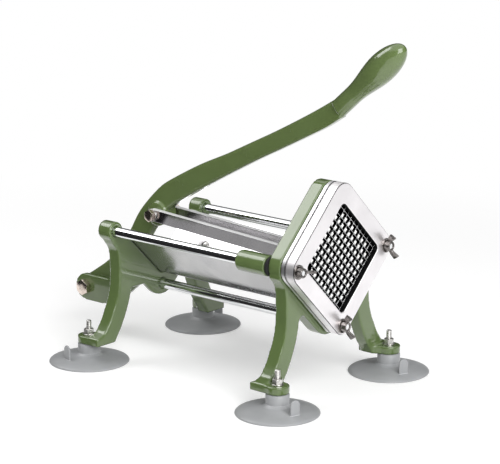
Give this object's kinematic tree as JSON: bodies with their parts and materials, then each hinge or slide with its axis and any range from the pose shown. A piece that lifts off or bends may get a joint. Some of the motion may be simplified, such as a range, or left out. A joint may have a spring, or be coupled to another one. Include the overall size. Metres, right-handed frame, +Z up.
{
  "type": "french fry cutter",
  "caption": "Hand-lever potato cutter: a pegged block slides on guide rods along a V-shaped bed and pushes through a crossed blade grid, on legs with suction cups.",
  "frame": {"origin": "Middle of the part's whole length and width, on the table under the suction cups.", "axes": "+Z up, -Y towards the cutting head and the lever's grip, +Y towards the lever's pivot, +X sideways from the left rod to the right rod."},
  "size_m": [0.221, 0.3688, 0.3047],
  "materials": {
    "green_enamel": "glossy enamel",
    "lever_enamel": "glossy enamel",
    "face_plate": "smooth satin",
    "carrier_plate": "smooth satin",
    "blade_steel": "ground",
    "rod_chrome": "polished",
    "bed_sheet": "polished sheet",
    "link_steel": "polished",
    "wing_nut_metal": "bright cast",
    "small_hardware": "zinc plated",
    "bolt_nickel": "warm nickel",
    "block_plastic": "smooth moulded",
    "cup_rubber": "matt grey",
    "ring_rubber": "matt black"
  },
  "bodies": {
    "frame": {"front_head": "green_enamel", "blade_carrier": "carrier_plate", "front_plate": "face_plate", "blades_rising": "blade_steel", "blades_falling": "blade_steel", "left_rod": "rod_chrome", "right_rod": "rod_chrome", "lower_rod": "rod_chrome", "rod_end_screws": "small_hardware", "wing_nut_washers": "small_hardware", "bumper_rings": "ring_rubber", "rear_frame": "green_enamel", "trough": "bed_sheet", "bed_screw": "small_hardware", "pivot_bolt": "bolt_nickel", "pivot_washers": "small_hardware", "pivot_nut": "bolt_nickel", "cup_front_left": "cup_rubber", "cup_front_right": "cup_rubber", "cup_rear_left": "cup_rubber", "cup_rear_right": "cup_rubber", "cup_studs": "small_hardware", "foot_washers": "small_hardware", "foot_nuts": "small_hardware"},
    "lever": {"lever": "lever_enamel", "link_bolt": "bolt_nickel", "link_nut": "bolt_nickel", "link_washers": "small_hardware"},
    "links": {"left_link_bar": "link_steel", "right_link_bar": "link_steel", "link_pin": "link_steel", "link_pin_clips": "small_hardware"},
    "pusher": {"carriage": "green_enamel", "push_block": "block_plastic", "block_screws": "small_hardware"},
    "left_nut": {"wing_nut_left": "wing_nut_metal"},
    "right_nut": {"wing_nut_right": "wing_nut_metal"},
    "lower_nut": {"wing_nut_lower": "wing_nut_metal"}
  },
  "joints": [
    {"name": "lever_hinge", "type": "hinge", "parent": "frame", "child": "lever", "pos_m": [0, 0.17211, 0.0423], "axis": [-1, 0, 0], "range_deg": [0, 50]},
    {"name": "link_hinge", "type": "hinge", "parent": "lever", "child": "links", "pos_m": [0, 0.08411, 0.1245], "axis": [1, 0, 0], "range_deg": [0, 63.8]},
    {"name": "pusher_slide", "type": "slide", "parent": "frame", "child": "pusher", "axis": [0, 1, 0], "range_m": [0, 0.1012]},
    {"name": "left_nut_turn", "type": "hinge", "parent": "frame", "child": "left_nut", "pos_m": [-0.05851, -0.12439, 0.118], "axis": [0, -1, 0], "continuous": true},
    {"name": "right_nut_turn", "type": "hinge", "parent": "frame", "child": "right_nut", "pos_m": [0.05851, -0.12439, 0.118], "axis": [0, -1, 0], "continuous": true},
    {"name": "lower_nut_turn", "type": "hinge", "parent": "frame", "child": "lower_nut", "pos_m": [0, -0.12439, 0.05949], "axis": [0, -1, 0], "continuous": true}
  ],
  "couplings": [
    {"joint": "pusher_slide", "follows": "lever_hinge", "m_per_rad": 0.11593},
    {"joint": "link_hinge", "follows": "lever_hinge", "ratio": 1.2753}
  ]
}
